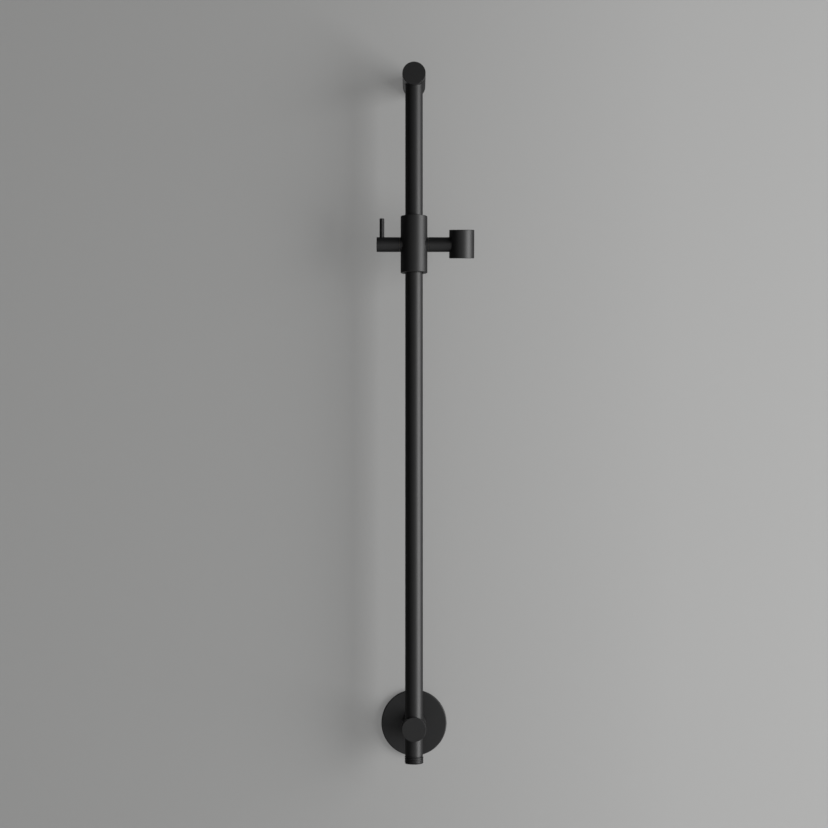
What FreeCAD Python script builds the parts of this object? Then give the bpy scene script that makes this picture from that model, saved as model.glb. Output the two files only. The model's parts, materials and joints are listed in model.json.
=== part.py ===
"""Shower slide rail with a wall water outlet, a lever-locked slider and a tilting handset holder.

Frame: X to the right, Y into the wall, Z up. The wall is the plane Y = 0, and the origin is the
centre of the lower wall flange on that plane. All lengths are in millimetres.
"""
import FreeCAD, Part
import math
import os

V = FreeCAD.Vector

# Rail and its place on the wall
rail_diameter = 20.0
rail_wall = 1.5
rail_stand_off = 50.0
post_spacing = 741.15

# Fits shared by all pieces
running_clearance = 0.05
seat_clearance = 0.05
part_gap = 0.3
turn_gap = 0.12
seal_section_sides = 8
same_place = 0.001

# Posts: round bars that stand out of the wall and end a little in front of the rail
upper_post_wall = 3.25
lower_post_wall = 3.5
post_overhang = 14.0
post_edge = 0.3
upper_socket_skin = 1.3
lower_socket_skin = 0.8

# Upper wall boss, hidden in the upper post
boss_wall_cover = 3.0
boss_web = 6.0
boss_end_gap = 2.0
boss_screw_hole_diameter = 5.5
boss_head_recess_diameter = 11.0
boss_floor = 12.0

# Screws: thread diameters, lengths, places, and the hexagon key as a share of the screw
post_screw_diameter = 5.0
post_screw_length = 5.0
post_screw_from_wall = 16.0
rail_screw_diameter = 6.0
foot_screw_diameter = 4.0
foot_screw_length = 7.0
foot_screw_below_tip = 10.0
screw_sink = 0.4
screw_point = 0.8
key_share = 0.55
hexagon_corners = 6
key_depth = 2.0

# Lower post: water inlet at the back, spigot for the rail on top, outlet stub below
inlet_bore_diameter = 20.955
inlet_depth = 12.0
water_bore_diameter = 12.0
spigot_height = 34.0
spigot_lead = 1.5
stub_length = 30.5
nipple_socket_diameter = 17.0
nipple_socket_depth = 12.0
inlet_washer_thickness = 2.0
inlet_washer_diameter = 18.4

# Wall flange on the lower post
flange_diameter = 75.0
flange_depth = 5.0
flange_wall = 1.4
flange_edge = 1.2
flange_collar_wall = 3.4
flange_seal_section = 1.9

# Hose outlet: outside thread on a nipple that screws into the stub
outlet_thread_diameter = 20.955
outlet_thread_length = 7.8
outlet_undercut_diameter = 18.4
outlet_undercut_width = 0.8
outlet_chamfer = 0.7
outlet_bore_diameter = 13.0
outlet_throat_diameter = 10.0
outlet_throat_length = 2.0
outlet_seal_section = 1.2
outlet_seal_from_face = 3.0

# Non-return cartridge in the nipple
valve_length = 14.0
valve_wall = 1.2
valve_seat_diameter = 8.0
valve_seat_thickness = 1.6
valve_seal_section = 0.8
valve_seal_from_top = 3.2
valve_spider_thickness = 2.0
valve_hub_diameter = 4.8
valve_spoke_width = 1.4
valve_spoke_count = 3
poppet_disc_clearance = 0.55
poppet_disc_thickness = 1.5
poppet_nose_diameter = 7.0
poppet_nose_tip_diameter = 4.0
poppet_nose_height = 1.4
poppet_stem_diameter = 2.4
spring_wire_diameter = 0.5
spring_turns = 5
spring_steps_per_turn = 12
spring_end_gap = 0.1

# Slider sleeve with split bushes in two inner recesses
slider_height = 546.85
sleeve_length = 64.7
sleeve_wall = 3.25
sleeve_lip = 2.0
sleeve_edge = 0.5
sleeve_rail_gap = 0.4
bush_wall = 1.9
bush_length = 20.0
bush_slit = 2.0
side_boss_diameter = 16.8
side_boss_step = 1.2
side_boss_bore_diameter = 12.0

# Lever lock on the left of the sleeve
knob_length = 26.03
knob_edge = 0.5
knob_end_wall = 2.0
journal_diameter = 10.5
journal_length = 16.5
journal_start_gap = 4.0
snap_ring_wire = 1.0
snap_ring_from_boss = 8.0
snap_ring_slit = 2.5
lever_pin_diameter = 5.4
lever_pin_from_end = 6.0
lever_pin_height = 29.8
lever_pin_seat = 4.4
lever_pin_edge = 0.6
plunger_diameter = 6.0
plunger_flat = 2.2
plunger_head_diameter = 9.0
plunger_head_thickness = 1.6
plunger_end_gap = 1.2
pad_diameter = 11.0
pad_thickness = 1.95
pad_skirt = 1.2
pad_contact_gap = 0.05

# Handset holder on the right of the sleeve
holder_reach = 54.35
holder_diameter = 28.6
holder_length = 32.3
holder_lean = 8.5
holder_rise = 0.6
holder_edge = 0.5
holder_bore_top_diameter = 25.6
holder_bore_bottom_diameter = 23.0
liner_wall = 1.0
liner_gap = 0.05
hose_slot_width = 14.0
arm_web = 3.0
tilt_screw_diameter = 5.0
tilt_screw_grip = 10.0
tilt_screw_head_diameter = 8.5
tilt_screw_head_length = 3.0
tilt_screw_hole_gap = 0.3
tilt_head_gap = 0.5
tilt_head_sink = 2.15
tilt_washer_thickness = 0.6
tilt_washer_diameter = 9.0
tilt_seal_section = 1.2
tilt_seal_from_boss = 5.0

# Places and radii worked out from the sizes above
rail_radius = rail_diameter / 2
rail_y = -rail_stand_off
post_length = rail_stand_off + post_overhang
upper_post_radius = rail_radius + upper_post_wall
lower_post_radius = rail_radius + lower_post_wall
socket_radius = rail_radius + seat_clearance
upper_post_z = post_spacing
rail_top_z = upper_post_z + math.sqrt((upper_post_radius - upper_socket_skin) ** 2 - socket_radius ** 2)
rail_foot_z = math.sqrt((lower_post_radius - lower_socket_skin) ** 2 - socket_radius ** 2)
spigot_radius = rail_radius - rail_wall - seat_clearance
foot_screw_height = spigot_height - foot_screw_below_tip
boss_radius = upper_post_radius - boss_wall_cover
boss_bore_depth = rail_stand_off - socket_radius - boss_web
nipple_top_z = -stub_length + nipple_socket_depth
outlet_end_z = -stub_length - outlet_undercut_width - outlet_thread_length
valve_radius = outlet_bore_diameter / 2 - seat_clearance
valve_top_z = nipple_top_z - seat_clearance - outlet_throat_length
valve_end_z = valve_top_z - valve_length
valve_bore_radius = valve_radius - valve_wall
poppet_top_z = valve_top_z - valve_seat_thickness - running_clearance
poppet_base_z = poppet_top_z - poppet_disc_thickness
spider_top_z = valve_end_z + valve_spider_thickness
bush_inner_radius = rail_radius + running_clearance
bush_radius = bush_inner_radius + bush_wall
recess_radius = bush_radius + running_clearance
sleeve_radius = recess_radius + sleeve_wall
sleeve_bore_radius = rail_radius + sleeve_rail_gap
side_boss_radius = side_boss_diameter / 2
side_boss_bore = side_boss_bore_diameter / 2
side_boss_end = sleeve_radius + side_boss_step
moving_start = side_boss_end + turn_gap
knob_end = moving_start + knob_length
journal_radius = journal_diameter / 2
journal_start = sleeve_bore_radius + journal_start_gap
journal_end = side_boss_end + journal_length
pad_face = rail_radius + pad_contact_gap
plunger_head_face = pad_face + pad_thickness
plunger_thread_start = journal_end + part_gap
plunger_end = knob_end - knob_end_wall - plunger_end_gap
cup_bore_wall = holder_reach - (holder_bore_top_diameter + holder_bore_bottom_diameter) / 4
tilt_head_end = cup_bore_wall - tilt_head_sink
tilt_head_start = tilt_head_end - tilt_screw_head_length
washer_seat = tilt_head_start - tilt_washer_thickness
web_end = washer_seat - running_clearance
spindle_end = web_end - arm_web - part_gap
slider_centre = V(0, rail_y, slider_height)
holder_centre = V(holder_reach, rail_y, slider_height)
lever_pin_x = -(knob_end - lever_pin_from_end)

UP = V(0, 0, 1)
DOWN = V(0, 0, -1)
LEFT = V(-1, 0, 0)
RIGHT = V(1, 0, 0)
FRONT = V(0, -1, 0)
BACK = V(0, 1, 0)


def rod(radius, start, axis, length):
    """Solid cylinder from a start point along an axis."""
    return Part.makeCylinder(radius, length, start, axis)


def turned(outline, base, axis):
    """Turned piece: a closed outline of (radius, distance along the axis) spun about the axis."""
    points = [V(radius, 0, along) for radius, along in outline]
    face = Part.Face(Part.makePolygon(points + points[:1]))
    solid = face.revolve(V(0, 0, 0), UP, 360)
    solid.Placement = FreeCAD.Placement(base, FreeCAD.Rotation(UP, axis))
    return solid


def ring(mean_radius, section, base, axis):
    """O-ring or wire ring: its section is a polygon with the corners on the round section."""
    turn = 2 * math.pi / seal_section_sides
    angles = [turn / 2 + index * turn for index in range(seal_section_sides)]
    radius = section / 2
    outline = [(mean_radius + radius * math.cos(angle), radius * math.sin(angle)) for angle in angles]
    return turned(outline, base, axis)


def round_rims(solid, rim_radius, centres, size):
    """Rounds the circular rims that have the given radius and one of the given centres."""
    rims = []
    for edge in solid.Edges:
        curve = edge.Curve
        if isinstance(curve, Part.Circle) and abs(curve.Radius - rim_radius) < same_place:
            if any(curve.Center.distanceToPoint(centre) < same_place for centre in centres):
                rims.append(edge)
    return solid.makeFillet(size, rims)


def box(x_size, y_size, z_size, centre):
    """Block centred on a point."""
    corner = centre - V(x_size / 2, y_size / 2, z_size / 2)
    return Part.makeBox(x_size, y_size, z_size, corner)


def hexagon(corner_radius):
    """Closed hexagon round the origin, in the XY plane."""
    turn = 2 * math.pi / hexagon_corners
    angles = [index * turn for index in range(hexagon_corners)]
    corners = [V(corner_radius * math.cos(angle), corner_radius * math.sin(angle), 0) for angle in angles]
    return Part.makePolygon(corners + corners[:1])


def key_socket(corner_radius, depth, face, axis):
    """Hexagon key socket, sunk from a face along an axis."""
    key = Part.Face(hexagon(corner_radius)).extrude(V(0, 0, depth))
    key.Placement = FreeCAD.Placement(face, FreeCAD.Rotation(UP, axis))
    return key


def grub_screw(diameter, length, face, axis):
    """Headless screw that starts at its driven face, with a hexagon key socket and a cone point."""
    radius = diameter / 2
    outline = [(0, 0), (radius, 0), (radius, length - screw_point), (radius - screw_point, length),
               (0, length)]
    body = turned(outline, face, axis)
    return body.cut(key_socket(radius * key_share, min(key_depth, length / 2), face, axis))


def post_bar(radius, centre_z):
    """Round bar from the wall to its flat front face, with a softly rounded rim."""
    base = V(0, 0, centre_z)
    return round_rims(rod(radius, base, FRONT, post_length), radius, [base + FRONT * post_length], post_edge)


def rail_tube():
    """Tube from its seat in the lower post to the blind socket of the upper post."""
    length = rail_top_z - rail_foot_z
    foot = V(0, rail_y, rail_foot_z)
    tube = rod(rail_radius, foot, UP, length).cut(rod(rail_radius - rail_wall, foot, UP, length))
    screw_start = V(0, rail_y, foot_screw_height)
    hole = rod(foot_screw_diameter / 2 + seat_clearance, screw_start, BACK, rail_diameter)
    return tube.cut(hole)


def upper_post():
    """Upper post with a boss bore from the wall and a rail socket from below."""
    bar = post_bar(upper_post_radius, upper_post_z)
    boss_bore = rod(boss_radius + seat_clearance, V(0, 0, upper_post_z), FRONT, boss_bore_depth)
    socket_start = V(0, rail_y, upper_post_z - upper_post_radius)
    socket_depth = rail_top_z + seat_clearance - socket_start.z
    socket = rod(socket_radius, socket_start, UP, socket_depth)
    web_hole = rod(rail_screw_diameter / 2 + seat_clearance, V(0, 0, upper_post_z), FRONT, rail_stand_off)
    screw_start = V(0, -post_screw_from_wall, upper_post_z)
    screw_hole = rod(post_screw_diameter / 2 + seat_clearance, screw_start, DOWN, upper_post_radius)
    return bar.cut(boss_bore).cut(socket).cut(web_hole).cut(screw_hole)


def upper_wall_boss():
    """Boss with a hole for the wall screw, a recess for its head and a dimple for the grub screw."""
    length = boss_bore_depth - boss_end_gap
    hole = boss_screw_hole_diameter / 2
    recess = boss_head_recess_diameter / 2
    outline = [(hole, 0), (boss_radius, 0), (boss_radius, length), (recess, length),
               (recess, boss_floor), (hole, boss_floor)]
    boss = turned(outline, V(0, 0, upper_post_z), FRONT)
    dimple_depth = post_screw_length + screw_sink + seat_clearance
    dimple_start = V(0, -post_screw_from_wall, upper_post_z - upper_post_radius)
    dimple = rod(post_screw_diameter / 2 + seat_clearance, dimple_start, UP, dimple_depth)
    return boss.cut(dimple)


def upper_post_screw():
    """Grub screw up through the post into the boss, out of sight from the front."""
    face = V(0, -post_screw_from_wall, upper_post_z - upper_post_radius + screw_sink)
    return grub_screw(post_screw_diameter, post_screw_length, face, UP)


def rail_lock_screw():
    """Grub screw in the web between the boss bore and the rail socket, tip on the rail."""
    face = V(0, -boss_bore_depth, upper_post_z)
    return grub_screw(rail_screw_diameter, boss_web + seat_clearance, face, FRONT)


def lower_post():
    """One casting: barrel, spigot in the rail, outlet stub, and the waterway through them."""
    axis_point = V(0, rail_y, 0)
    seat = V(0, rail_y, rail_foot_z)
    barrel = post_bar(lower_post_radius, 0)
    barrel = barrel.cut(rod(socket_radius, seat, UP, lower_post_radius))
    spigot_tip = spigot_height - spigot_lead
    root_z = rail_foot_z - lower_socket_skin
    spigot = turned(
        [(0, root_z), (spigot_radius, root_z), (spigot_radius, spigot_tip),
         (spigot_radius - spigot_lead, spigot_height), (0, spigot_height)],
        axis_point, UP)
    stub = rod(rail_radius, axis_point, DOWN, stub_length)
    body = barrel.fuse([spigot, stub])
    inlet = rod(inlet_bore_diameter / 2, V(0, 0, 0), FRONT, inlet_depth)
    washer_seat_start = V(0, -inlet_depth, 0)
    recess = rod(inlet_washer_diameter / 2, washer_seat_start, FRONT, inlet_washer_thickness)
    run = rod(water_bore_diameter / 2, V(0, 0, 0), FRONT, rail_stand_off)
    elbow = Part.makeSphere(water_bore_diameter / 2, axis_point)
    drop = rod(water_bore_diameter / 2, axis_point, DOWN, stub_length)
    socket_start = V(0, rail_y, nipple_top_z)
    socket = rod(nipple_socket_diameter / 2, socket_start, DOWN, nipple_socket_depth)
    screw_start = V(0, rail_y, foot_screw_height)
    screw_hole = rod(foot_screw_diameter / 2 + seat_clearance, screw_start, BACK, rail_radius)
    return body.cut([inlet, recess, run, elbow, drop, socket, screw_hole]).removeSplitter()


def rail_foot_screw():
    """Grub screw at the back of the rail's foot, through the tube into the spigot."""
    face = V(0, rail_y + rail_radius - screw_sink, foot_screw_height)
    return grub_screw(foot_screw_diameter, foot_screw_length, face, FRONT)


def wall_flange():
    """Thin flange, hollow at the back, with a collar round the post and a groove for its seal."""
    inner = lower_post_radius + part_gap
    collar = inner + flange_collar_wall
    outer = flange_diameter / 2
    floor = flange_depth - flange_wall
    groove_top = floor
    groove_base = groove_top - flange_seal_section
    groove = lower_post_radius + flange_seal_section + seat_clearance
    outline = [(inner, 0), (collar, 0), (collar, floor), (outer - flange_wall, floor),
               (outer - flange_wall, 0), (outer, 0), (outer, flange_depth), (inner, flange_depth),
               (inner, groove_top), (groove, groove_top), (groove, groove_base), (inner, groove_base)]
    disc = turned(outline, V(0, 0, 0), FRONT)
    return round_rims(disc, outer, [FRONT * flange_depth], flange_edge)


def flange_seal():
    """O-ring in the flange's groove, on the post."""
    along = flange_depth - flange_wall - flange_seal_section / 2
    mean = lower_post_radius + flange_seal_section / 2
    return ring(mean, flange_seal_section, V(0, -along, 0), FRONT)


def inlet_washer():
    """Flat seal in its recess behind the inlet thread."""
    outer = inlet_washer_diameter / 2 - seat_clearance
    start = V(0, -inlet_depth, 0)
    washer = rod(outer, start, FRONT, inlet_washer_thickness)
    return washer.cut(rod(water_bore_diameter / 2, start, FRONT, inlet_washer_thickness))


def outlet_nipple():
    """Nipple: shank in the stub, seal groove, undercut and the hose thread's outside diameter."""
    shank = nipple_socket_diameter / 2 - seat_clearance
    thread = outlet_thread_diameter / 2
    undercut = outlet_undercut_diameter / 2
    bore = outlet_bore_diameter / 2
    throat = outlet_throat_diameter / 2
    top = nipple_top_z - seat_clearance
    throat_end = top - outlet_throat_length
    groove_low = -stub_length + outlet_seal_from_face
    groove_top = groove_low + outlet_seal_section
    groove = shank - outlet_seal_section
    thread_top = -stub_length - outlet_undercut_width
    outline = [(throat, top), (shank, top), (shank, groove_top), (groove, groove_top),
               (groove, groove_low), (shank, groove_low), (shank, -stub_length),
               (undercut, -stub_length), (undercut, thread_top), (thread, thread_top),
               (thread, outlet_end_z + outlet_chamfer), (thread - outlet_chamfer, outlet_end_z),
               (bore, outlet_end_z), (bore, throat_end), (throat, throat_end)]
    return turned(outline, V(0, rail_y, 0), UP)


def outlet_seal():
    """O-ring on the nipple's shank."""
    mean = nipple_socket_diameter / 2 - outlet_seal_section / 2 - seat_clearance
    height = -stub_length + outlet_seal_from_face + outlet_seal_section / 2
    return ring(mean, outlet_seal_section, V(0, rail_y, height), UP)


def check_valve_body():
    """Cartridge tube with a valve seat above and a three-armed guide for the stem below."""
    groove_top = valve_top_z - valve_seal_from_top
    groove_low = groove_top - valve_seal_section
    groove = valve_radius - valve_seal_section
    seat = valve_seat_diameter / 2
    seat_floor = valve_top_z - valve_seat_thickness
    outline = [(seat, valve_top_z), (valve_radius, valve_top_z), (valve_radius, groove_top),
               (groove, groove_top), (groove, groove_low), (valve_radius, groove_low),
               (valve_radius, valve_end_z), (valve_bore_radius, valve_end_z),
               (valve_bore_radius, seat_floor), (seat, seat_floor)]
    shell = turned(outline, V(0, rail_y, 0), UP)
    base = V(0, rail_y, valve_end_z)
    guide = rod(valve_hub_diameter / 2, base, UP, valve_spider_thickness)
    arm_length = (valve_bore_radius + valve_radius) / 2
    for index in range(valve_spoke_count):
        arm = Part.makeBox(arm_length, valve_spoke_width, valve_spider_thickness,
                           base - V(0, valve_spoke_width / 2, 0))
        arm.rotate(base, UP, index * 360 / valve_spoke_count)
        guide = guide.fuse(arm)
    stem_hole = rod(poppet_stem_diameter / 2 + running_clearance, base, UP, valve_spider_thickness)
    return shell.fuse(guide).cut(stem_hole)


def check_valve_seal():
    """O-ring on the cartridge."""
    mean = valve_radius - valve_seal_section / 2
    height = valve_top_z - valve_seal_from_top - valve_seal_section / 2
    return ring(mean, valve_seal_section, V(0, rail_y, height), UP)


def check_valve_poppet():
    """Poppet: conical nose in the seat, disc under it, and a stem through the guide."""
    disc = valve_bore_radius - poppet_disc_clearance
    stem = poppet_stem_diameter / 2
    nose = poppet_nose_diameter / 2
    tip = poppet_nose_tip_diameter / 2
    nose_z = poppet_top_z + poppet_nose_height
    outline = [(0, nose_z), (tip, nose_z), (nose, poppet_top_z), (disc, poppet_top_z),
               (disc, poppet_base_z), (stem, poppet_base_z), (stem, valve_end_z), (0, valve_end_z)]
    return turned(outline, V(0, rail_y, 0), UP)


def check_valve_spring():
    """Coil spring round the stem, its wire bent in short straight lengths along a helix."""
    wire = spring_wire_diameter / 2
    mean = (valve_hub_diameter / 2 + valve_bore_radius) / 2
    start_z = spider_top_z + spring_end_gap + wire
    rise = poppet_base_z - spring_end_gap - wire - start_z
    steps = spring_turns * spring_steps_per_turn
    points = []
    for step in range(steps + 1):
        angle = 2 * math.pi * step / spring_steps_per_turn
        height = start_z + rise * step / steps
        points.append(V(mean * math.cos(angle), rail_y + mean * math.sin(angle), height))
    section = hexagon(wire)
    section.Placement = FreeCAD.Placement(points[0], FreeCAD.Rotation(UP, points[1] - points[0]))
    return Part.makePolygon(points).makePipeShell([section], True, False, 1)


def split_bush(base_z):
    """Nylon bush that runs on the rail, slit so that it snaps into the sleeve's recess."""
    base = V(0, rail_y, base_z)
    bush = rod(bush_radius, base, UP, bush_length).cut(rod(bush_inner_radius, base, UP, bush_length))
    slit_centre = V(0, rail_y + bush_radius, base_z + bush_length / 2)
    return bush.cut(box(bush_slit, bush_radius, bush_length, slit_centre))


def recess_base(side):
    """Height of a bush's lower end: side is 1 for the upper recess and -1 for the lower one."""
    outer = sleeve_length / 2 - sleeve_lip - part_gap
    middle = outer - bush_length / 2
    return slider_height + side * middle - bush_length / 2


def slider_sleeve():
    """Sleeve with two side bosses that meet it in a fish mouth, and recesses for the bushes."""
    bottom = slider_centre + DOWN * (sleeve_length / 2)
    top = slider_centre + UP * (sleeve_length / 2)
    barrel = rod(sleeve_radius, bottom, UP, sleeve_length)
    barrel = round_rims(barrel, sleeve_radius, [bottom, top], sleeve_edge)
    bosses = [rod(side_boss_radius, slider_centre, side, side_boss_end) for side in (LEFT, RIGHT)]
    body = barrel.fuse(bosses)
    cuts = [rod(sleeve_bore_radius, bottom, UP, sleeve_length)]
    for side in (1, -1):
        recess_start = V(0, rail_y, recess_base(side) - part_gap)
        cuts.append(rod(recess_radius, recess_start, UP, bush_length + 2 * part_gap))
    for side in (LEFT, RIGHT):
        cuts.append(rod(side_boss_bore, slider_centre, side, side_boss_end))
    return body.cut(cuts).removeSplitter()


def plunger_prism(clearance, start, end):
    """Round bar with one flat, along the lock's axis, enlarged by a clearance."""
    radius = plunger_diameter / 2 + clearance
    bar = rod(radius, slider_centre + LEFT * start, LEFT, end - start)
    flat_z = plunger_flat + clearance
    middle = slider_centre + LEFT * ((start + end) / 2) + V(0, 0, flat_z + radius)
    return bar.cut(box(end - start, 2 * radius, 2 * radius, middle))


def knob_journal():
    """Journal fixed in the left boss, with a ring groove and a bore that keeps the plunger from turning."""
    seat = side_boss_bore - seat_clearance
    ring_at = side_boss_end + snap_ring_from_boss
    half = snap_ring_wire / 2 + seat_clearance
    groove = journal_radius - snap_ring_wire / 2 - seat_clearance
    outline = [(0, journal_start), (seat, journal_start), (seat, side_boss_end),
               (journal_radius, side_boss_end), (journal_radius, ring_at - half), (groove, ring_at - half),
               (groove, ring_at + half), (journal_radius, ring_at + half), (journal_radius, journal_end),
               (0, journal_end)]
    journal = turned(outline, slider_centre, LEFT)
    return journal.cut(plunger_prism(running_clearance, journal_start, journal_end))


def knob_snap_ring():
    """Open wire ring, half in the journal's groove and half in the knob's."""
    centre = slider_centre + LEFT * (side_boss_end + snap_ring_from_boss)
    wire_ring = ring(journal_radius, snap_ring_wire, centre, LEFT)
    opening = box(2 * snap_ring_wire, snap_ring_slit, journal_radius, centre + DOWN * journal_radius)
    return wire_ring.cut(opening)


def lock_knob():
    """Knob that turns on the journal, with a ring groove, the plunger's thread and a closed end."""
    bore = journal_radius + running_clearance
    thread = plunger_diameter / 2 + running_clearance
    knob = side_boss_radius
    ring_at = side_boss_end + snap_ring_from_boss
    half = snap_ring_wire / 2 + part_gap
    groove = journal_radius + snap_ring_wire / 2 + part_gap
    floor = plunger_thread_start
    thread_end = knob_end - knob_end_wall
    outline = [(bore, moving_start), (knob, moving_start), (knob, knob_end), (0, knob_end), (0, thread_end),
               (thread, thread_end), (thread, floor), (bore, floor), (bore, ring_at + half),
               (groove, ring_at + half), (groove, ring_at - half), (bore, ring_at - half)]
    body = turned(outline, slider_centre, LEFT)
    body = round_rims(body, knob, [slider_centre + LEFT * knob_end], knob_edge)
    hole_start = V(lever_pin_x, rail_y, slider_height + lever_pin_seat)
    hole = rod(lever_pin_diameter / 2 + seat_clearance, hole_start, UP, side_boss_radius)
    return body.cut(hole)


def lever_pin():
    """Thin pin pressed into the knob, to turn it by."""
    radius = lever_pin_diameter / 2
    foot = V(lever_pin_x, rail_y, slider_height)
    pin = rod(radius, foot + UP * lever_pin_seat, UP, lever_pin_height - lever_pin_seat)
    return round_rims(pin, radius, [foot + UP * lever_pin_height], lever_pin_edge)


def brake_plunger():
    """Plunger: head behind the pad, flatted shank in the journal, threaded end in the knob."""
    head_start = slider_centre + LEFT * plunger_head_face
    head = rod(plunger_head_diameter / 2, head_start, LEFT, plunger_head_thickness)
    shank = plunger_prism(0, plunger_head_face + plunger_head_thickness / 2, plunger_thread_start)
    thread_start = slider_centre + LEFT * plunger_thread_start
    thread = rod(plunger_diameter / 2, thread_start, LEFT, plunger_end - plunger_thread_start)
    return head.fuse([shank, thread])


def brake_pad():
    """Pad with a hollow face for the rail and a pocket for the plunger's head."""
    pocket_start = slider_centre + LEFT * plunger_head_face
    back = plunger_head_face + pad_skirt
    pad = rod(pad_diameter / 2, slider_centre, LEFT, back)
    rail_space = rod(pad_face, slider_centre + DOWN * pad_diameter, UP, 2 * pad_diameter)
    pocket = rod(plunger_head_diameter / 2 + seat_clearance, pocket_start, LEFT, plunger_head_thickness)
    return pad.cut(rail_space).cut(pocket)


def holder_spindle():
    """Spindle fixed in the right boss, with a seal groove and a threaded end for the tilt screw."""
    seat = side_boss_bore - seat_clearance
    seal_low = side_boss_end + tilt_seal_from_boss
    seal_high = seal_low + tilt_seal_section
    groove = journal_radius - tilt_seal_section
    thread = tilt_screw_diameter / 2
    thread_end = spindle_end - tilt_screw_grip
    outline = [(0, journal_start), (seat, journal_start), (seat, side_boss_end),
               (journal_radius, side_boss_end), (journal_radius, seal_low), (groove, seal_low),
               (groove, seal_high), (journal_radius, seal_high), (journal_radius, spindle_end),
               (thread, spindle_end), (thread, thread_end), (0, thread_end)]
    return turned(outline, slider_centre, RIGHT)


def tilt_seal():
    """O-ring on the spindle that gives the tilt its drag."""
    mean = journal_radius - tilt_seal_section / 2
    along = side_boss_end + tilt_seal_from_boss + tilt_seal_section / 2
    return ring(mean, tilt_seal_section, slider_centre + RIGHT * along, RIGHT)


def tilt_washer():
    """Spring washer between the arm's web and the screw's head."""
    inner = tilt_screw_diameter / 2 + seat_clearance
    outer = tilt_washer_diameter / 2
    outline = [(inner, washer_seat), (outer, washer_seat), (outer, tilt_head_start), (inner, tilt_head_start)]
    return turned(outline, slider_centre, RIGHT)


def tilt_screw():
    """Screw along the arm: shank into the spindle, head in the cup's counterbore, with a key socket."""
    shank = tilt_screw_diameter / 2
    head = tilt_screw_head_diameter / 2
    tip = spindle_end - tilt_screw_grip + seat_clearance
    outline = [(0, tip), (shank, tip), (shank, tilt_head_start), (head, tilt_head_start),
               (head, tilt_head_end), (0, tilt_head_end)]
    screw = turned(outline, slider_centre, RIGHT)
    head_face = slider_centre + RIGHT * tilt_head_end
    return screw.cut(key_socket(head * key_share, key_depth, head_face, LEFT))


def cup_place():
    """Place of the cup: leaning forward about the arm, its middle a little above the axis."""
    lean = FreeCAD.Rotation(RIGHT, holder_lean)
    return FreeCAD.Placement(holder_centre + lean.multVec(UP * holder_rise), lean)


def cup_cone(top_radius, bottom_radius):
    """Conical space through the whole cup, in the cup's own frame."""
    base = V(0, 0, -holder_length / 2)
    return Part.makeCone(bottom_radius, top_radius, holder_length, base, UP)


def hose_slot():
    """Slot at the cup's back for the hose, in the cup's own frame."""
    centre = V(0, holder_diameter / 2, 0)
    return box(hose_slot_width, holder_diameter, 2 * holder_length, centre)


def handset_holder():
    """One casting: arm on the spindle and a leaning cup with a conical bore and a hose slot."""
    radius = holder_diameter / 2
    bottom = DOWN * (holder_length / 2)
    top = UP * (holder_length / 2)
    cup = round_rims(rod(radius, bottom, UP, holder_length), radius, [bottom, top], holder_edge)
    cone = cup_cone(holder_bore_top_diameter / 2, holder_bore_bottom_diameter / 2)
    slot = hose_slot()
    for shape in (cup, cone, slot):
        shape.Placement = cup_place().multiply(shape.Placement)
    start = slider_centre + RIGHT * moving_start
    reach = holder_reach - moving_start
    arm = rod(side_boss_radius, start, RIGHT, reach)
    bore_depth = spindle_end + part_gap - moving_start
    journal_bore = rod(journal_radius + running_clearance, start, RIGHT, bore_depth)
    screw_hole = rod(tilt_screw_diameter / 2 + tilt_screw_hole_gap, start, RIGHT, reach)
    head_space = rod(tilt_screw_head_diameter / 2 + tilt_head_gap, slider_centre + RIGHT * web_end, RIGHT,
                     holder_reach - web_end)
    body = cup.fuse(arm)
    return body.cut([cone, slot, journal_bore, screw_hole, head_space]).removeSplitter()


def holder_liner():
    """Thin conical liner of the cup, with the same slot."""
    outer_top = holder_bore_top_diameter / 2 - liner_gap
    outer_bottom = holder_bore_bottom_diameter / 2 - liner_gap
    shell = cup_cone(outer_top, outer_bottom)
    shell = shell.cut(cup_cone(outer_top - liner_wall, outer_bottom - liner_wall))
    shell = shell.cut(hose_slot())
    shell.Placement = cup_place().multiply(shell.Placement)
    return shell


def upper_bush():
    """Bush in the upper recess of the sleeve."""
    return split_bush(recess_base(1))


def lower_bush():
    """Bush in the lower recess of the sleeve."""
    return split_bush(recess_base(-1))


PIECES = [
    rail_tube, upper_post, upper_wall_boss, upper_post_screw, rail_lock_screw, lower_post, rail_foot_screw,
    wall_flange, flange_seal, inlet_washer, outlet_nipple, outlet_seal, check_valve_body, check_valve_seal,
    check_valve_poppet, check_valve_spring, upper_bush, lower_bush, slider_sleeve, knob_journal,
    knob_snap_ring, lock_knob, lever_pin, brake_plunger, brake_pad, holder_spindle, tilt_seal, tilt_washer,
    tilt_screw, handset_holder, holder_liner,
]


def main():
    """Build every piece and write it under its own name."""
    os.makedirs("parts", exist_ok=True)
    for piece in PIECES:
        shape = piece()
        print(piece.__name__, len(shape.Solids), shape.isValid(), round(shape.Volume, 1))
        shape.exportStep("parts/" + piece.__name__ + ".step")


main()
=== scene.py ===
"""Matte black shower slide rail on a plain pale wall, in soft studio light.

Metres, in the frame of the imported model: X right, Y into the wall, Z up, wall plane at Y = 0.
Colours are linear red, green, blue and alpha. Scales of noise are in features per metre.
"""
import json
import math

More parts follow.
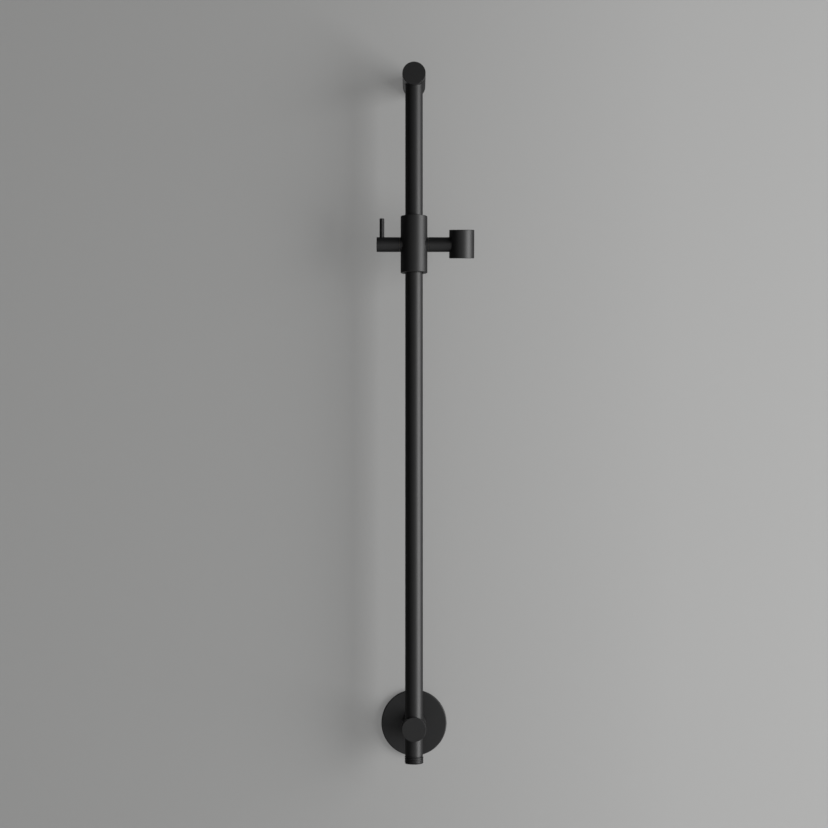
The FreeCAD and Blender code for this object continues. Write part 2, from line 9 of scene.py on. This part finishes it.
import bpy
import numpy as np
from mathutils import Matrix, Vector


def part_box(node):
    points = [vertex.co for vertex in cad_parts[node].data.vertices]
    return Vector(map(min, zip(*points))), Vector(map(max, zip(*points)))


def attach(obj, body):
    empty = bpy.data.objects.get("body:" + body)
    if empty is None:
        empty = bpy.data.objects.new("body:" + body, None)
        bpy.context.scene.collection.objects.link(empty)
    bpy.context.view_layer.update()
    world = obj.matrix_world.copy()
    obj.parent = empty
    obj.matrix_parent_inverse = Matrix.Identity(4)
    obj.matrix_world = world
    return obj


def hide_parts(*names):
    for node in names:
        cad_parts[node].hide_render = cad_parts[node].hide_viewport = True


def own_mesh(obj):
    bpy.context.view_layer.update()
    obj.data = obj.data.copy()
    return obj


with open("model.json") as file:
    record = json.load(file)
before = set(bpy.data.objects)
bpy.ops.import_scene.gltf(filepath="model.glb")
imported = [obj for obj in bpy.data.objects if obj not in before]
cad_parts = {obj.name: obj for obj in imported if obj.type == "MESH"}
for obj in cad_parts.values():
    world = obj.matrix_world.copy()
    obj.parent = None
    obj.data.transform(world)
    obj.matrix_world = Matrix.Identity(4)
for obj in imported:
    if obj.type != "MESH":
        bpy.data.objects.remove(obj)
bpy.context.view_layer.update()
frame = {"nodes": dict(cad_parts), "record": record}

MM = 0.001
RAIL_Y = -50.0 * MM

# Camera: a little below the middle of the rail, looking slightly up
CAMERA_DISTANCE = 1.96461
CAMERA_HEIGHT = 0.25841
CAMERA_PITCH_DEG = 2.8443
CAMERA_LENS_MM = 73.481
SENSOR_MM = 36.0
LEVEL_DEG = 90.0

# Lamps: a wide key softbox low on the right, and a weaker one behind the wall
LAMP_TARGET = (0.0, RAIL_Y, 0.36)
KEY_PLACE = (2.06, -1.0, 0.26)
KEY_SIZE = (1.45, 2.1)
KEY_WATTS = 80.0
BACK_PLACE = (0.0, 2.4, 0.5)
BACK_SIZE = (1.6, 2.0)
BACK_WATTS = 26.0

# World: dim as a light, pale where the camera or a reflection sees it
WORLD_COLOUR = (1.0, 1.0, 1.0, 1.0)
WORLD_LIGHT = 0.03
WORLD_SEEN = 0.6

# Stage: wall just behind the flange, floor, card behind the camera, flags on the left and above
STAGE_HALF_WIDTH = 5.0
STAGE_TOP = 4.0
FLOOR_Z = -1.3
WALL_Y = 0.6 * MM
CARD_Y = -3.4
STAGE_ROUGHNESS = 0.9
MOTTLE_SCALE = 3.0
MOTTLE_LIGHTER = 1.03

# Wall: painted shade towards the key lamp, where its light is strongest, and a glow that rises to
# the right, over spans in X
WALL_COLOUR = (0.208, 0.208, 0.206, 1.0)
# Painted shade: towards the key lamp the wall's paint darkens to this, across the next span in X,
# to hold down the lamp's pool of light
WALL_PAINTED_SHADE = (0.047, 0.047, 0.0465, 1.0)
WALL_PAINTED_SHADE_SPAN = (0.3, 1.3)
WALL_GLOW = 1.0
WALL_GLOW_LEFT = (0.137, 0.137, 0.1355, 1.0)
WALL_GLOW_RIGHT = (0.211, 0.211, 0.209, 1.0)
WALL_GLOW_SPAN = (-0.1, 0.5)
# Painted shade in reflections: glossy rays see only this share of the wall's paint and glow
WALL_IN_GLOSS = 0.25
NO_GLOW = (0.0, 0.0, 0.0, 1.0)

# Floor and card: a glow that fades upwards in Z and to the left in X
FLOOR_COLOUR = (0.46, 0.46, 0.456, 1.0)
FLOOR_GLOW = 0.3
CARD_COLOUR = (0.15, 0.15, 0.149, 1.0)
CARD_GLOW = 1.0
GLOW_BRIGHT = (0.57, 0.57, 0.57, 1.0)
GLOW_DIM = (0.02, 0.02, 0.02, 1.0)
GLOW_FADE_UP = (-0.8, 1.95)
GLOW_FADE_LEFT = (0.6, -3.6)

# Flags: dark panels that only reflections see, painted shade in the reflections
FLAG_COLOUR = (0.02, 0.02, 0.02, 1.0)
FLAG_ROUGHNESS = 1.0

# Powder coat: orange peel and clouds, and how much each adds to the roughness
PEEL_SCALE = 1300.0
PEEL_ROUGHNESS = 0.05
PEEL_DEPTH = 0.025 * MM
PEEL_STRENGTH = 0.35
COAT_CLOUD_SCALE = 28.0
COAT_CLOUD_ROUGHNESS = 0.06

# Moulded plastic: mould grain and flow clouds
GRAIN_SCALE = 2600.0
GRAIN_ROUGHNESS = 0.1
GRAIN_DEPTH = 0.02 * MM
GRAIN_STRENGTH = 0.3
FLOW_SCALE = 60.0

# Turned metal: streaks drawn out along X, and clouds
STREAK_STRETCH = (1.0, 40.0, 40.0)
STREAK_SCALE = 60.0
STREAK_ROUGHNESS = 0.15
STREAK_DEPTH = 0.01 * MM
STREAK_STRENGTH = 0.25
METAL_CLOUD_SCALE = 90.0

# Seal rubber: a fine bloom
RUBBER_DARK = (0.012, 0.012, 0.012, 1.0)
RUBBER_LIGHT = (0.03, 0.03, 0.03, 1.0)
RUBBER_ROUGHNESS = 0.62
BLOOM_SCALE = 500.0
BLOOM_ROUGHNESS = 0.16
BLOOM_DEPTH = 0.02 * MM
BLOOM_STRENGTH = 0.3

# Half-inch pipe thread, outside on the hose outlet and inside the water inlet
THREAD_PITCH = 1.814 * MM
THREAD_DEPTH = 0.9 * MM
THREAD_RADIUS = 10.4775 * MM
CREST_HALF = 0.15
ROOT_HALF = 0.12
STEPS_PER_PITCH = 24
TURN_STEPS = 96
TURN = np.linspace(0.0, 1.0, TURN_STEPS, endpoint=False)
TURN_ANGLE = 2.0 * np.pi * TURN

# Outlet nipple below the rail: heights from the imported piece, radii from the rail's axis
NIPPLE_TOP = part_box("outlet_nipple")[1].z
NIPPLE_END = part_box("outlet_nipple")[0].z
NIPPLE_FACE = NIPPLE_TOP - 11.95 * MM
NIPPLE_THREAD_TOP = NIPPLE_FACE - 0.8 * MM
NIPPLE_GROOVE_LOW = NIPPLE_FACE + 3.0 * MM
NIPPLE_GROOVE_TOP = NIPPLE_FACE + 4.2 * MM
NIPPLE_THROAT_END = NIPPLE_TOP - 2.0 * MM
NIPPLE_CHAMFER = 0.7 * MM
NIPPLE_SHANK = 8.45 * MM
NIPPLE_GROOVE = 7.25 * MM
NIPPLE_UNDERCUT = 9.2 * MM
NIPPLE_BORE = 6.5 * MM
NIPPLE_THROAT = 5.0 * MM

# Water inlet in the lower post, along +Y
INLET_DEPTH = -12.0 * MM
INLET_MOUTH = -0.4 * MM
INLET_SEAT_GAP = 0.02 * MM
WATERWAY_RADIUS = 10.6 * MM
WATERWAY_DEPTH = -46.0 * MM
ACROSS_INLET = (1.0, 0.0, 1.0)

# Spring of the non-return valve: its ends from the imported piece
SPRING_LOW, SPRING_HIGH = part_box("check_valve_spring")
SPRING_WIRE = 0.25 * MM
SPRING_TURNS = 5
SPRING_STEPS = 40
WIRE_SIDES = 10

# New pieces are smooth up to this angle between faces
SHARP_DEG = 35.0

# Sockets of a Mix node that blends colours
MIX_FACTOR, MIX_FIRST, MIX_SECOND, MIX_RESULT = 0, 6, 7, 2


class ShaderValue:
    """A socket that Python's operators work on: each operation adds one Math node."""

    def __init__(self, graph, socket):
        self.graph = graph
        self.socket = socket

    def math(self, operation, first, second):
        """One Math node on two values."""
        return self.graph.node("ShaderNodeMath", {"operation": operation}, {0: first, 1: second})

    def __add__(self, other):
        return self.math("ADD", self, other)

    __radd__ = __add__

    def __mul__(self, other):
        return self.math("MULTIPLY", self, other)

    __rmul__ = __mul__

    def __sub__(self, other):
        return self.math("SUBTRACT", self, other)

    def __rsub__(self, other):
        return self.math("SUBTRACT", other, self)

    def __gt__(self, other):
        return self.math("GREATER_THAN", self, other)

    def __lt__(self, other):
        return self.math("LESS_THAN", self, other)

    def __or__(self, other):
        return self.math("MAXIMUM", self, other)

    __ror__ = __or__


class Graph:
    """The nodes of one material or world."""

    def __init__(self, tree):
        self.tree = tree

    def node(self, kind, settings=None, inputs=None, output=0):
        """Any node: its settings first, then its sockets' values or links. Gives one output."""
        made = self.tree.nodes.new(kind)
        for key, value in (settings or {}).items():
            setattr(made, key, value)
        for key, value in (inputs or {}).items():
            self.feed(made.inputs[key], value)
        return ShaderValue(self, made.outputs[output])

    def feed(self, socket, value):
        """Links a shader value to a socket, or sets a plain value on it."""
        if isinstance(value, ShaderValue):
            self.tree.links.new(value.socket, socket)
        else:
            socket.default_value = value

    def ray(self, kind):
        """1 for one kind of ray, such as Is Camera Ray, and 0 for the others."""
        return self.node("ShaderNodeLightPath", output=kind)


class Finish(Graph):
    """One surface finish: a material, its shader, and the object coordinates of its patterns."""

    def __init__(self, name, **constants):
        self.material = bpy.data.materials.new(name)
        self.material.use_nodes = True
        super().__init__(self.material.node_tree)
        self.shader = self.tree.nodes["Principled BSDF"]
        for socket_name, value in constants.items():
            self.shader.inputs[socket_name.replace("_", " ")].default_value = value
        self.coords = self.node("ShaderNodeTexCoord", output="Object")

    def noise(self, scale, detail=2.0, vector=None):
        """Cloudy values between 0 and 1."""
        return self.node("ShaderNodeTexNoise", None, {
            "Vector": vector or self.coords, "Scale": scale, "Detail": detail})

    def fade(self, axis, span):
        """0 at the first place of the span along an object axis, 1 at the second."""
        place = self.node("ShaderNodeSeparateXYZ", None, {0: self.coords}, output=axis)
        return self.node("ShaderNodeMapRange", None, {
            "Value": place, "From Min": span[0], "From Max": span[1]})

    def blend(self, factor, first, second):
        """Colour between two colours."""
        return self.node("ShaderNodeMix", {"data_type": "RGBA"}, {
            MIX_FACTOR: factor, MIX_FIRST: first, MIX_SECOND: second}, output=MIX_RESULT)

    def mottled(self, colour):
        """A colour with faint lighter clouds."""
        return self.blend(self.noise(MOTTLE_SCALE), colour, shaded(colour, MOTTLE_LIGHTER))

    def dress(self, colour=None, roughness=None, height=None, depth=0.0, strength=1.0):
        """Feeds colour, roughness and a bump of the given depth in metres to the shader."""
        if colour is not None:
            self.feed(self.shader.inputs["Base Color"], colour)
        if roughness is not None:
            self.feed(self.shader.inputs["Roughness"], roughness)
        if height is not None:
            bump = self.node("ShaderNodeBump", None, {
                "Height": height, "Distance": depth, "Strength": strength})
            self.feed(self.shader.inputs["Normal"], bump)
        return self.material


def shaded(colour, share):
    """A colour times a share, with its alpha kept."""
    return tuple(share * part for part in colour[:3]) + colour[3:]


def waterway(finish):
    """1 inside the water inlet, where the coat stops and the casting is bare, and 0 elsewhere."""
    flat = finish.node("ShaderNodeVectorMath", {"operation": "MULTIPLY"}, {
        0: finish.coords, 1: ACROSS_INLET})
    radius = finish.node("ShaderNodeVectorMath", {"operation": "LENGTH"}, {0: flat}, output="Value")
    depth = finish.node("ShaderNodeSeparateXYZ", None, {0: finish.coords}, output="Y")
    return (radius < WATERWAY_RADIUS) * (depth > WATERWAY_DEPTH)


def powder_coat(name, dark, light, bare, roughness):
    """Powder coat: fine orange peel, faint clouds in tone and gloss, bare brass in the waterway."""
    finish = Finish(name)
    peel = finish.noise(PEEL_SCALE)
    cloud = finish.noise(COAT_CLOUD_SCALE, detail=3.0)
    wet = waterway(finish)
    gloss = roughness + COAT_CLOUD_ROUGHNESS * cloud + PEEL_ROUGHNESS * peel
    finish.feed(finish.shader.inputs["Metallic"], wet)
    tone = finish.blend(wet, finish.blend(cloud, dark, light), bare)
    return finish.dress(tone, gloss, peel, PEEL_DEPTH, PEEL_STRENGTH)


def moulded_plastic(name, dark, light, roughness):
    """Moulded plastic: faint flow clouds and a fine eroded mould grain."""
    finish = Finish(name)
    grain = finish.noise(GRAIN_SCALE, detail=3.0)
    tone = finish.blend(finish.noise(FLOW_SCALE), dark, light)
    gloss = roughness + GRAIN_ROUGHNESS * grain
    return finish.dress(tone, gloss, grain, GRAIN_DEPTH, GRAIN_STRENGTH)


def turned_metal(name, dark, light, roughness):
    """Turned metal: cloudy tone, and fine streaks along X in its gloss and its surface."""
    finish = Finish(name, Metallic=1.0)
    stretched = finish.node("ShaderNodeMapping", None, {
        "Vector": finish.coords, "Scale": STREAK_STRETCH})
    streaks = finish.noise(STREAK_SCALE, detail=3.0, vector=stretched)
    tone = finish.blend(finish.noise(METAL_CLOUD_SCALE), dark, light)
    gloss = roughness + STREAK_ROUGHNESS * streaks
    return finish.dress(tone, gloss, streaks, STREAK_DEPTH, STREAK_STRENGTH)


def seal_rubber(name):
    """Black rubber: dull, with a fine bloom."""
    finish = Finish(name)
    bloom = finish.noise(BLOOM_SCALE, detail=4.0)
    tone = finish.blend(bloom, RUBBER_DARK, RUBBER_LIGHT)
    gloss = RUBBER_ROUGHNESS + BLOOM_ROUGHNESS * bloom
    return finish.dress(tone, gloss, bloom, BLOOM_DEPTH, BLOOM_STRENGTH)


def make_finishes():
    """One material for each material slot of the record."""
    return {
        "black_metal": powder_coat(
            "black_metal", dark=(0.005, 0.005, 0.0053, 1.0), light=(0.008, 0.008, 0.0084, 1.0),
            bare=(0.6, 0.43, 0.18, 1.0), roughness=0.45),
        "brass": turned_metal(
            "brass", dark=(0.55, 0.38, 0.15, 1.0), light=(0.72, 0.52, 0.24, 1.0), roughness=0.22),
        "screw_steel": turned_metal(
            "screw_steel", dark=(0.42, 0.42, 0.43, 1.0), light=(0.58, 0.58, 0.59, 1.0),
            roughness=0.24),
        "seal_rubber": seal_rubber("seal_rubber"),
        "bush_nylon": moulded_plastic(
            "bush_nylon", dark=(0.66, 0.63, 0.56, 1.0), light=(0.76, 0.74, 0.67, 1.0),
            roughness=0.38),
        "valve_plastic": moulded_plastic(
            "valve_plastic", dark=(0.10, 0.17, 0.38, 1.0), light=(0.13, 0.21, 0.44, 1.0),
            roughness=0.36),
        "liner_plastic": moulded_plastic(
            "liner_plastic", dark=(0.014, 0.014, 0.015, 1.0), light=(0.02, 0.02, 0.021, 1.0),
            roughness=0.46),
    }


def coat_nodes(finishes):
    """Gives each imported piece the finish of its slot."""
    for part in frame["record"]["subparts"]:
        piece = frame["nodes"][part["node"]]
        piece.data.materials.clear()
        piece.data.materials.append(finishes[part["material_slot"]])


def put(name, data):
    """New object in the scene, at the origin, from a mesh, a lamp or a camera."""
    made = bpy.data.objects.new(name, data)
    bpy.context.scene.collection.objects.link(made)
    return made


def skin(name, points, material, capped=False):
    """Closed surface from a grid of points: quads between neighbours, periodic along each row.

    The last row joins the first one, or where it is capped both end with a flat face.
    """
    rows, columns = points.shape[:2]
    index = np.arange(rows * columns).reshape(rows, columns)
    below = np.roll(index, -1, axis=0)
    beside = np.roll(index, -1, axis=1)
    corners = np.stack([index, beside, np.roll(below, -1, axis=1), below], axis=-1)
    faces = (corners[:-1] if capped else corners).reshape(-1, 4).tolist()
    caps = [index[0, ::-1].tolist(), index[-1].tolist()] if capped else []
    mesh = bpy.data.meshes.new(name)
    mesh.from_pydata(points.reshape(-1, 3).tolist(), [], faces + caps)
    mesh.validate()
    mesh.shade_smooth()
    mesh.set_sharp_from_angle(angle=math.radians(SHARP_DEG))
    mesh.materials.append(material)
    return put(name, mesh)


def thread_wave(along):
    """Coated pipe thread, 0 at its root and 1 at its crest, on a right-hand helix.

    It has a row for each place along the thread and a column for each step of the turn. With
    the distance from the nearest crest in pitches, it is a smooth step from 1 at CREST_HALF to 0
    at half a pitch less ROOT_HALF.
    """
    place = along[:, None] / THREAD_PITCH - TURN
    from_crest = np.abs(place - np.round(place))
    root = 0.5 - ROOT_HALF
    rise = np.clip((root - from_crest) / (root - CREST_HALF), 0.0, 1.0)
    return rise * rise * (3.0 - 2.0 * rise)


def thread_rows(start, end):
    """Places along a thread, close enough for its wave to look round."""
    return np.linspace(start, end, 1 + math.ceil(STEPS_PER_PITCH * abs(end - start) / THREAD_PITCH))


def around(values):
    """Repeats one value for each row over all steps of the turn."""
    return np.repeat(values[:, None], TURN_STEPS, axis=1)


def hose_thread(material):
    """Outlet nipple: its turned outline spun round the rail's axis, with the thread cut into it.

    The thread's radius is the smaller of the wave and the end's 45 degree chamfer.
    """
    above = np.array([
        (NIPPLE_THROAT, NIPPLE_TOP), (NIPPLE_SHANK, NIPPLE_TOP),
        (NIPPLE_SHANK, NIPPLE_GROOVE_TOP), (NIPPLE_GROOVE, NIPPLE_GROOVE_TOP),
        (NIPPLE_GROOVE, NIPPLE_GROOVE_LOW), (NIPPLE_SHANK, NIPPLE_GROOVE_LOW),
        (NIPPLE_SHANK, NIPPLE_FACE), (NIPPLE_UNDERCUT, NIPPLE_FACE),
        (NIPPLE_UNDERCUT, NIPPLE_THREAD_TOP)])
    within = np.array([
        (NIPPLE_BORE, NIPPLE_END), (NIPPLE_BORE, NIPPLE_THROAT_END),
        (NIPPLE_THROAT, NIPPLE_THROAT_END)])
    height = thread_rows(NIPPLE_THREAD_TOP, NIPPLE_END)
    chamfer = THREAD_RADIUS - NIPPLE_CHAMFER + (height[:, None] - NIPPLE_END)
    cut = np.minimum(THREAD_RADIUS - THREAD_DEPTH * (1.0 - thread_wave(height)), chamfer)
    radius = np.concatenate([around(above[:, 0]), cut, around(within[:, 0])])
    level = around(np.concatenate([above[:, 1], height, within[:, 1]]))
    points = np.stack([
        radius * np.cos(TURN_ANGLE), RAIL_Y + radius * np.sin(TURN_ANGLE), level], axis=-1)
    return skin("hose_thread", points[::-1], material)


def inlet_thread(material):
    """Thread inside the water inlet: a sleeve in the bore whose inner radius follows the wave.

    The inner radius is the larger of the wave and the mouth's 45 degree lead.
    """
    depth = thread_rows(INLET_DEPTH, INLET_MOUTH)
    seat = THREAD_RADIUS - INLET_SEAT_GAP
    lead = seat + depth[:, None] - INLET_MOUTH
    cut = np.maximum(seat - THREAD_DEPTH * thread_wave(depth), lead)
    inner = np.minimum(cut, seat - INLET_SEAT_GAP)
    outer = np.full((2, TURN_STEPS), seat)
    radius = np.concatenate([inner, outer])
    level = around(np.concatenate([depth, [INLET_MOUTH, INLET_DEPTH]]))
    points = np.stack([radius * np.cos(TURN_ANGLE), level, -radius * np.sin(TURN_ANGLE)], axis=-1)
    return skin("inlet_thread", points[::-1], material)


def valve_coil(material):
    """Spring of the non-return valve: a round wire carried along a helix of SPRING_TURNS turns.

    A point of the wire's section goes outwards by its cosine and upwards by its sine.
    """
    turn = np.linspace(0.0, SPRING_TURNS, SPRING_TURNS * SPRING_STEPS + 1)
    radius = (SPRING_HIGH.x - SPRING_LOW.x) / 2.0 - SPRING_WIRE
    height = np.linspace(SPRING_LOW.z + SPRING_WIRE, SPRING_HIGH.z - SPRING_WIRE, len(turn))
    angle = 2.0 * np.pi * turn[:, None]
    side = 2.0 * np.pi * np.arange(WIRE_SIDES) / WIRE_SIDES
    out = radius + SPRING_WIRE * np.cos(side)
    points = np.stack([
        out * np.cos(angle), RAIL_Y + out * np.sin(angle),
        height[:, None] + SPRING_WIRE * np.sin(side)], axis=-1)
    return skin("valve_coil", points[:, ::-1], material, capped=True)


def make_spring(finishes):
    """The valve's spring as a round wire, in place of the imported one."""
    coil = valve_coil(finishes["screw_steel"])
    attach(coil, "wall_rail")
    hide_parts("check_valve_spring")
    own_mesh(coil)


def make_threads(finishes):
    """The two pipe threads that the plain solids leave out."""
    outlet = hose_thread(finishes["black_metal"])
    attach(outlet, "wall_rail")
    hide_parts("outlet_nipple")
    inlet = inlet_thread(finishes["brass"])
    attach(inlet, "wall_rail")


def front_only(finish):
    """Shows a panel's paint only from its front, and lets shadow rays pass.

    So it never hides the rail from the camera or from a lamp.
    """
    hidden = finish.node("ShaderNodeNewGeometry", output="Backfacing") | finish.ray("Is Shadow Ray")
    paint = ShaderValue(finish, finish.shader.outputs[0])
    clear = finish.node("ShaderNodeBsdfTransparent")
    mixed = finish.node("ShaderNodeMixShader", None, {0: hidden, 1: paint, 2: clear})
    finish.feed(finish.tree.nodes["Material Output"].inputs["Surface"], mixed)
    return finish.material


def wall_paint():
    """Wall paint with painted shade towards the key lamp, and a glow that keeps the shadows on it
    light.

    The glow is for the camera and for reflections. Reflections show painted shade: only the share
    WALL_IN_GLOSS of paint and glow, as if a dark flag stood close beside the rail.
    """
    finish = Finish("wall_paint", Roughness=STAGE_ROUGHNESS, Emission_Strength=WALL_GLOW)
    finish.material.cycles.emission_sampling = "NONE"
    # Painted shade: the wall's paint darkens towards the key lamp
    painted_shade = finish.fade("X", WALL_PAINTED_SHADE_SPAN)
    paint = finish.blend(painted_shade, finish.mottled(WALL_COLOUR), WALL_PAINTED_SHADE)
    # Painted shade in reflections: glossy rays see the wall darker, as if a dark flag stood beside
    # the rail
    glossy = finish.ray("Is Glossy Ray")
    finish.dress(finish.blend(glossy, paint, shaded(WALL_COLOUR, WALL_IN_GLOSS)))
    seen = finish.ray("Is Camera Ray") | finish.ray("Is Transmission Ray") | WALL_IN_GLOSS * glossy
    glow = finish.blend(finish.fade("X", WALL_GLOW_SPAN), WALL_GLOW_LEFT, WALL_GLOW_RIGHT)
    finish.feed(finish.shader.inputs["Emission Color"], finish.blend(seen, NO_GLOW, glow))
    return front_only(finish)


def glowing_paint(name, colour, glow):
    """Pale paint lit from within: bright low on the right, dim at the top and on the left.

    Where the camera looks at it, the glow is even.
    """
    finish = Finish(name, Roughness=STAGE_ROUGHNESS, Emission_Strength=glow)
    finish.dress(finish.mottled(colour))
    dimmer = finish.fade("Z", GLOW_FADE_UP) | finish.fade("X", GLOW_FADE_LEFT)
    fade = dimmer * (1.0 - finish.ray("Is Camera Ray"))
    finish.feed(finish.shader.inputs["Emission Color"], finish.blend(fade, GLOW_BRIGHT, GLOW_DIM))
    return front_only(finish)


def panel(name, material, *corners):
    """Flat stage panel from four corners, in order round it, anticlockwise seen from its front."""
    mesh = bpy.data.meshes.new(name)
    mesh.from_pydata(corners, [], [(0, 1, 2, 3)])
    mesh.materials.append(material)
    piece = put(name, mesh)
    return piece


def flag(name, material, *corners):
    """Dark panel that darkens reflections, out of the camera's sight and of the lamps' way."""
    piece = panel(name, material, *corners)
    piece.visible_camera = False
    piece.visible_diffuse = False
    piece.visible_shadow = False


def make_stage():
    """Pale wall, floor and card, and dark flags that only reflections see."""
    left, right = -STAGE_HALF_WIDTH, STAGE_HALF_WIDTH
    back, front = WALL_Y, CARD_Y
    low, top = FLOOR_Z, STAGE_TOP
    panel("stage_wall", wall_paint(),
          (left, back, low), (right, back, low), (right, back, top), (left, back, top))
    panel("stage_card", glowing_paint("card_paint", CARD_COLOUR, CARD_GLOW),
          (left, front, low), (left, front, top), (right, front, top), (right, front, low))
    panel("stage_floor", glowing_paint("floor_paint", FLOOR_COLOUR, FLOOR_GLOW),
          (left, front, low), (right, front, low), (right, back, low), (left, back, low))
    # Painted shade in reflections: the flags' dark paint, seen only in reflections
    flag_shade = Finish("flag_shade_paint", Base_Color=FLAG_COLOUR, Roughness=FLAG_ROUGHNESS).material
    flag("stage_flag_left", flag_shade,
         (left, back, low), (left, back, top), (left, front, top), (left, front, low))
    flag("stage_flag_top", flag_shade,
         (left, back, top), (right, back, top), (right, front, top), (left, front, top))


def softbox(name, place, size, watts):
    """Large oblong lamp at a place, turned to the rail and hidden from the camera."""
    lamp = bpy.data.lights.new(name, "AREA")
    lamp.shape = "RECTANGLE"
    lamp.size, lamp.size_y = size
    lamp.energy = watts
    light = put(name, lamp)
    light.location = place
    light.rotation_euler = (Vector(LAMP_TARGET) - Vector(place)).to_track_quat("-Z", "Y").to_euler()
    light.visible_camera = False


def make_light():
    """The two lamps, and a world that is dim as a light and pale to look at."""
    softbox("key_softbox", KEY_PLACE, KEY_SIZE, KEY_WATTS)
    softbox("back_softbox", BACK_PLACE, BACK_SIZE, BACK_WATTS)
    world = bpy.data.worlds.new("studio")
    bpy.context.scene.world = world
    world.use_nodes = True
    graph = Graph(world.node_tree)
    background = world.node_tree.nodes["Background"]
    background.inputs["Color"].default_value = WORLD_COLOUR
    direct = graph.ray("Is Camera Ray") | graph.ray("Is Transmission Ray")
    seen = direct | graph.ray("Is Glossy Ray")
    strength = graph.node("ShaderNodeMapRange", None, {
        "Value": seen, "To Min": WORLD_LIGHT, "To Max": WORLD_SEEN})
    graph.feed(background.inputs["Strength"], strength)


def make_camera():
    """Camera in line with the rail, at the view's height and distance, turned up by its pitch."""
    lens = bpy.data.cameras.new("camera")
    lens.sensor_width = SENSOR_MM
    lens.lens = CAMERA_LENS_MM
    camera = put("camera", lens)
    camera.location = (0.0, -CAMERA_DISTANCE, CAMERA_HEIGHT)
    camera.rotation_euler = (math.radians(LEVEL_DEG + CAMERA_PITCH_DEG), 0.0, 0.0)
    bpy.context.scene.camera = camera


bpy.context.scene.view_settings.view_transform = "Standard"
finishes = make_finishes()
coat_nodes(finishes)
make_threads(finishes)
make_spring(finishes)
make_stage()
make_light()
make_camera()
